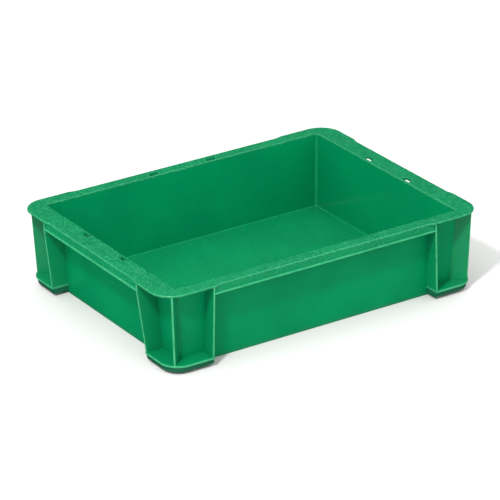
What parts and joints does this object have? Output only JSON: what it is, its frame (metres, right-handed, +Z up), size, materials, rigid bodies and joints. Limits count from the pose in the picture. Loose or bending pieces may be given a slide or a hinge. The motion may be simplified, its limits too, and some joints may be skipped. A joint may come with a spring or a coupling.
{
  "type": "stacking crate",
  "caption": "Shallow open-topped rectangular plastic crate with a flanged, skirted rim, upright ribs, corner ledges and a base that nests on the crate below.",
  "frame": {"origin": "centre of the base, at the level the crate stands on", "axes": "+Z up out of the open top, +X along the long sides, +Y across the crate towards the rear side"},
  "size_m": [0.4446, 0.3316, 0.102],
  "materials": {
    "plastic": "semi-gloss moulded green polypropylene"
  },
  "bodies": {
    "root": {"base_rim_front": "plastic", "base_rim_left": "plastic", "base_rim_rear": "plastic", "base_rim_right": "plastic", "corner_rib_front_left": "plastic", "corner_rib_front_right": "plastic", "corner_rib_rear_left": "plastic", "corner_rib_rear_right": "plastic", "floor": "plastic", "foot_front_left_end": "plastic", "foot_front_left_long_side": "plastic", "foot_front_right_end": "plastic", "foot_front_right_long_side": "plastic", "foot_rear_left_end": "plastic", "foot_rear_left_long_side": "plastic", "foot_rear_right_end": "plastic", "foot_rear_right_long_side": "plastic", "ledge_front_left_end": "plastic", "ledge_front_left_long_side": "plastic", "ledge_front_right_end": "plastic", "ledge_front_right_long_side": "plastic", "ledge_rear_left_end": "plastic", "ledge_rear_left_long_side": "plastic", "ledge_rear_right_end": "plastic", "ledge_rear_right_long_side": "plastic", "rib_front_left": "plastic", "rib_front_right": "plastic", "rib_left_front": "plastic", "rib_left_rear": "plastic", "rib_rear_left": "plastic", "rib_rear_right": "plastic", "rib_right_front": "plastic", "rib_right_rear": "plastic", "rim_corner_front_left": "plastic", "rim_corner_front_right": "plastic", "rim_corner_rear_left": "plastic", "rim_corner_rear_right": "plastic", "rim_front": "plastic", "rim_left": "plastic", "rim_rear": "plastic", "rim_right": "plastic", "skirt_front": "plastic", "skirt_left": "plastic", "skirt_rear": "plastic", "skirt_right": "plastic", "underside_ribs": "plastic", "wall_front": "plastic", "wall_left": "plastic", "wall_rear": "plastic", "wall_right": "plastic"}
  },
  "joints": []
}
